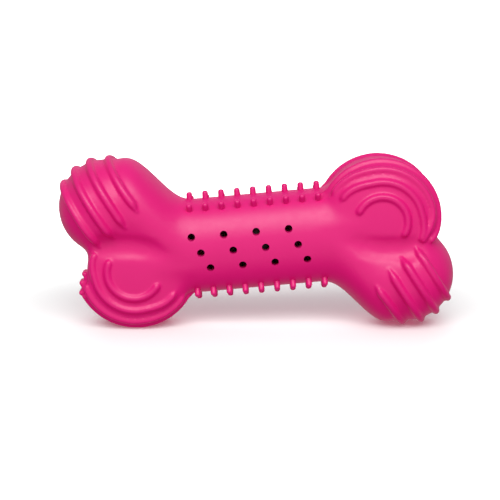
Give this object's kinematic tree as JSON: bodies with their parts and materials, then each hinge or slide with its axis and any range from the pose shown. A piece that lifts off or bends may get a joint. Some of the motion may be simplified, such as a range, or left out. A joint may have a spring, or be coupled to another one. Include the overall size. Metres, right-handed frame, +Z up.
{
  "type": "rubber chew toy",
  "caption": "Bone-shaped rubber chew toy with ridged and ribbed knobs, rows of nubs, sound holes in the shank and a pressed squeaker with a beating reed inside.",
  "frame": {"origin": "floor level under the middle of the bone, at the centre of the bounding box's bottom", "axes": "+X along the shank to the right as the sound holes are faced, +Y through the bone from its front to its back, +Z up"},
  "size_m": [0.1498, 0.0388, 0.0648],
  "materials": {
    "pink_rubber": "satin moulded rubber with a fine dull grain",
    "squeaker_plastic": "black moulded plastic, dull",
    "bellows_vinyl": "black soft vinyl, dull",
    "tube_plastic": "natural grey-white plastic",
    "reed_brass": "rolled brass strip"
  },
  "bodies": {
    "bone": {"front_shell": "pink_rubber", "back_shell": "pink_rubber", "squeaker_cup": "squeaker_plastic", "squeaker_bellows": "bellows_vinyl", "reed_barrel": "tube_plastic", "reed_plug": "tube_plastic"},
    "crown": {"squeaker_crown": "squeaker_plastic"},
    "reed": {"reed": "reed_brass"}
  },
  "joints": [
    {"name": "squeaker_press", "type": "slide", "parent": "bone", "child": "crown", "axis": [0, 1, 0], "range_m": [0, 0.004], "stiffness_N_per_m": 800, "deforming": ["squeaker_bellows"]},
    {"name": "reed_flutter", "type": "hinge", "parent": "bone", "child": "reed", "pos_m": [-0.00002, 0.0071, 0.03237], "axis": [-0.996, 0, -0.0893], "range_deg": [0, 5], "stiffness_Nm_per_rad": 0.0005}
  ]
}
